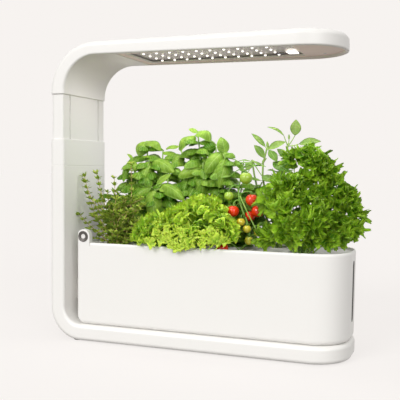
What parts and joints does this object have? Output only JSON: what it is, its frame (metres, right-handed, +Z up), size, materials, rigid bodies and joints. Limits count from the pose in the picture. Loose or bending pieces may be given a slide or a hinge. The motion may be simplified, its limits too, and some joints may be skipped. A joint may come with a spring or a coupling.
{
  "type": "countertop hydroponic garden",
  "caption": "Countertop hydroponic garden: C-shaped frame with a grow lamp sliding on a mast, a removable water tank with a level window and net-basket pods of herbs, lettuce and tomatoes.",
  "frame": {"origin": "on the worktop, at the middle of the base between its column's outer face and its round end: the centre of the middle rubber foot's underside", "axes": "+X runs along the garden from the column to the round end, +Y points to the back, +Z up; the side with the push button faces -Y"},
  "size_m": [0.4359, 0.1352, 0.43],
  "materials": {
    "white_gloss": "satin gloss",
    "mast_white": "satin",
    "cover_white": "satin",
    "rubber_grey": "matte",
    "grey_plastic": "matte",
    "black_plastic": "matte",
    "circuit_green": "satin",
    "led_board_grey": "satin",
    "led_white": "gloss",
    "clear_cover": "clear",
    "smoked_window": "smoked, gloss",
    "aluminium_plate": "rolled",
    "steel": "brushed",
    "bezel_steel": "satin",
    "contact_brass": "satin",
    "float_orange": "matte",
    "basket_plastic": "matte",
    "grow_sponge": "porous",
    "thyme_leaf": "satin",
    "lettuce_leaf": "satin",
    "tomato_vine": "satin",
    "parsley_leaf": "satin",
    "basil_leaf": "satin gloss",
    "sage_leaf": "soft",
    "tomato_red": "gloss"
  },
  "bodies": {
    "frame": {"base_shell": "white_gloss", "bottom_cover": "cover_white", "feet": "rubber_grey", "collar": "white_gloss", "dock_block": "cover_white", "dock_contacts": "contact_brass", "dc_socket": "black_plastic", "control_board": "circuit_green", "base_leads": "black_plastic", "coil_clip": "grey_plastic", "lamp_coil_lead": "black_plastic"},
    "lamp": {"mast": "mast_white", "mast_shoe": "rubber_grey", "arm_shell": "white_gloss", "arm_underside": "cover_white", "arm_screws": "steel", "led_board": "led_board_grey", "leds": "led_white", "led_lens": "clear_cover", "heat_spreader": "aluminium_plate", "lamp_lead": "black_plastic"},
    "tank": {"tank_shell": "white_gloss", "level_window": "smoked_window", "float_guide": "grey_plastic", "button_bezel": "bezel_steel", "button_switch": "black_plastic", "contact_plate": "grey_plastic", "pump_housing": "black_plastic", "pump_cover": "grey_plastic", "pump_riser": "grey_plastic", "tank_leads": "black_plastic"},
    "float": {"float": "float_orange"},
    "button": {"button_cap": "cover_white"},
    "rotor": {"pump_rotor": "black_plastic"},
    "deck": {"deck": "cover_white", "flap_pin": "steel"},
    "flap": {"fill_flap": "cover_white"},
    "pod_thyme": {"basket_thyme": "basket_plastic", "sponge_thyme": "grow_sponge", "plant_thyme": "thyme_leaf"},
    "pod_lettuce": {"basket_lettuce": "basket_plastic", "sponge_lettuce": "grow_sponge", "plant_lettuce": "lettuce_leaf"},
    "pod_tomato": {"basket_tomato": "basket_plastic", "sponge_tomato": "grow_sponge", "plant_tomato": "tomato_vine", "tomatoes": "tomato_red"},
    "pod_parsley": {"basket_parsley": "basket_plastic", "sponge_parsley": "grow_sponge", "plant_parsley": "parsley_leaf"},
    "pod_basil_left": {"basket_basil_left": "basket_plastic", "sponge_basil_left": "grow_sponge", "plant_basil_left": "basil_leaf"},
    "pod_basil_right": {"basket_basil_right": "basket_plastic", "sponge_basil_right": "grow_sponge", "plant_basil_right": "basil_leaf"},
    "pod_sage": {"basket_sage": "basket_plastic", "sponge_sage": "grow_sponge", "plant_sage": "sage_leaf"}
  },
  "joints": [
    {"name": "lamp_height", "type": "slide", "parent": "frame", "child": "lamp", "axis": [0, 0, 1], "range_m": [-0.063, 0.08], "deforming": ["lamp_coil_lead"]},
    {"name": "tank_slide", "type": "slide", "parent": "frame", "child": "tank", "axis": [0, -1, 0], "range_m": [0, 0.17]},
    {"name": "deck_lift", "type": "slide", "parent": "tank", "child": "deck", "axis": [0, 0, 1], "range_m": [0, 0.03]},
    {"name": "flap_hinge", "type": "hinge", "parent": "deck", "child": "flap", "pos_m": [-0.147, 0.0504, 0.142], "axis": [-1, 0, 0], "range_deg": [0, 100]},
    {"name": "button_press", "type": "slide", "parent": "tank", "child": "button", "axis": [0, 1, 0], "range_m": [0, 0.0012], "stiffness_N_per_m": 600, "springref_m": -0.001},
    {"name": "float_rise", "type": "slide", "parent": "tank", "child": "float", "axis": [0, 0, 1], "range_m": [0, 0.068]},
    {"name": "rotor_spin", "type": "hinge", "parent": "tank", "child": "rotor", "pos_m": [-0.1404, 0.028, 0.04], "axis": [0, 0, 1], "continuous": true},
    {"name": "pod_lift_thyme", "type": "slide", "parent": "deck", "child": "pod_thyme", "axis": [0, 0, 1], "range_m": [0, 0.05]},
    {"name": "pod_lift_lettuce", "type": "slide", "parent": "deck", "child": "pod_lettuce", "axis": [0, 0, 1], "range_m": [0, 0.05]},
    {"name": "pod_lift_tomato", "type": "slide", "parent": "deck", "child": "pod_tomato", "axis": [0, 0, 1], "range_m": [0, 0.05]},
    {"name": "pod_lift_parsley", "type": "slide", "parent": "deck", "child": "pod_parsley", "axis": [0, 0, 1], "range_m": [0, 0.05]},
    {"name": "pod_lift_basil_left", "type": "slide", "parent": "deck", "child": "pod_basil_left", "axis": [0, 0, 1], "range_m": [0, 0.05]},
    {"name": "pod_lift_basil_right", "type": "slide", "parent": "deck", "child": "pod_basil_right", "axis": [0, 0, 1], "range_m": [0, 0.05]},
    {"name": "pod_lift_sage", "type": "slide", "parent": "deck", "child": "pod_sage", "axis": [0, 0, 1], "range_m": [0, 0.05]}
  ]
}
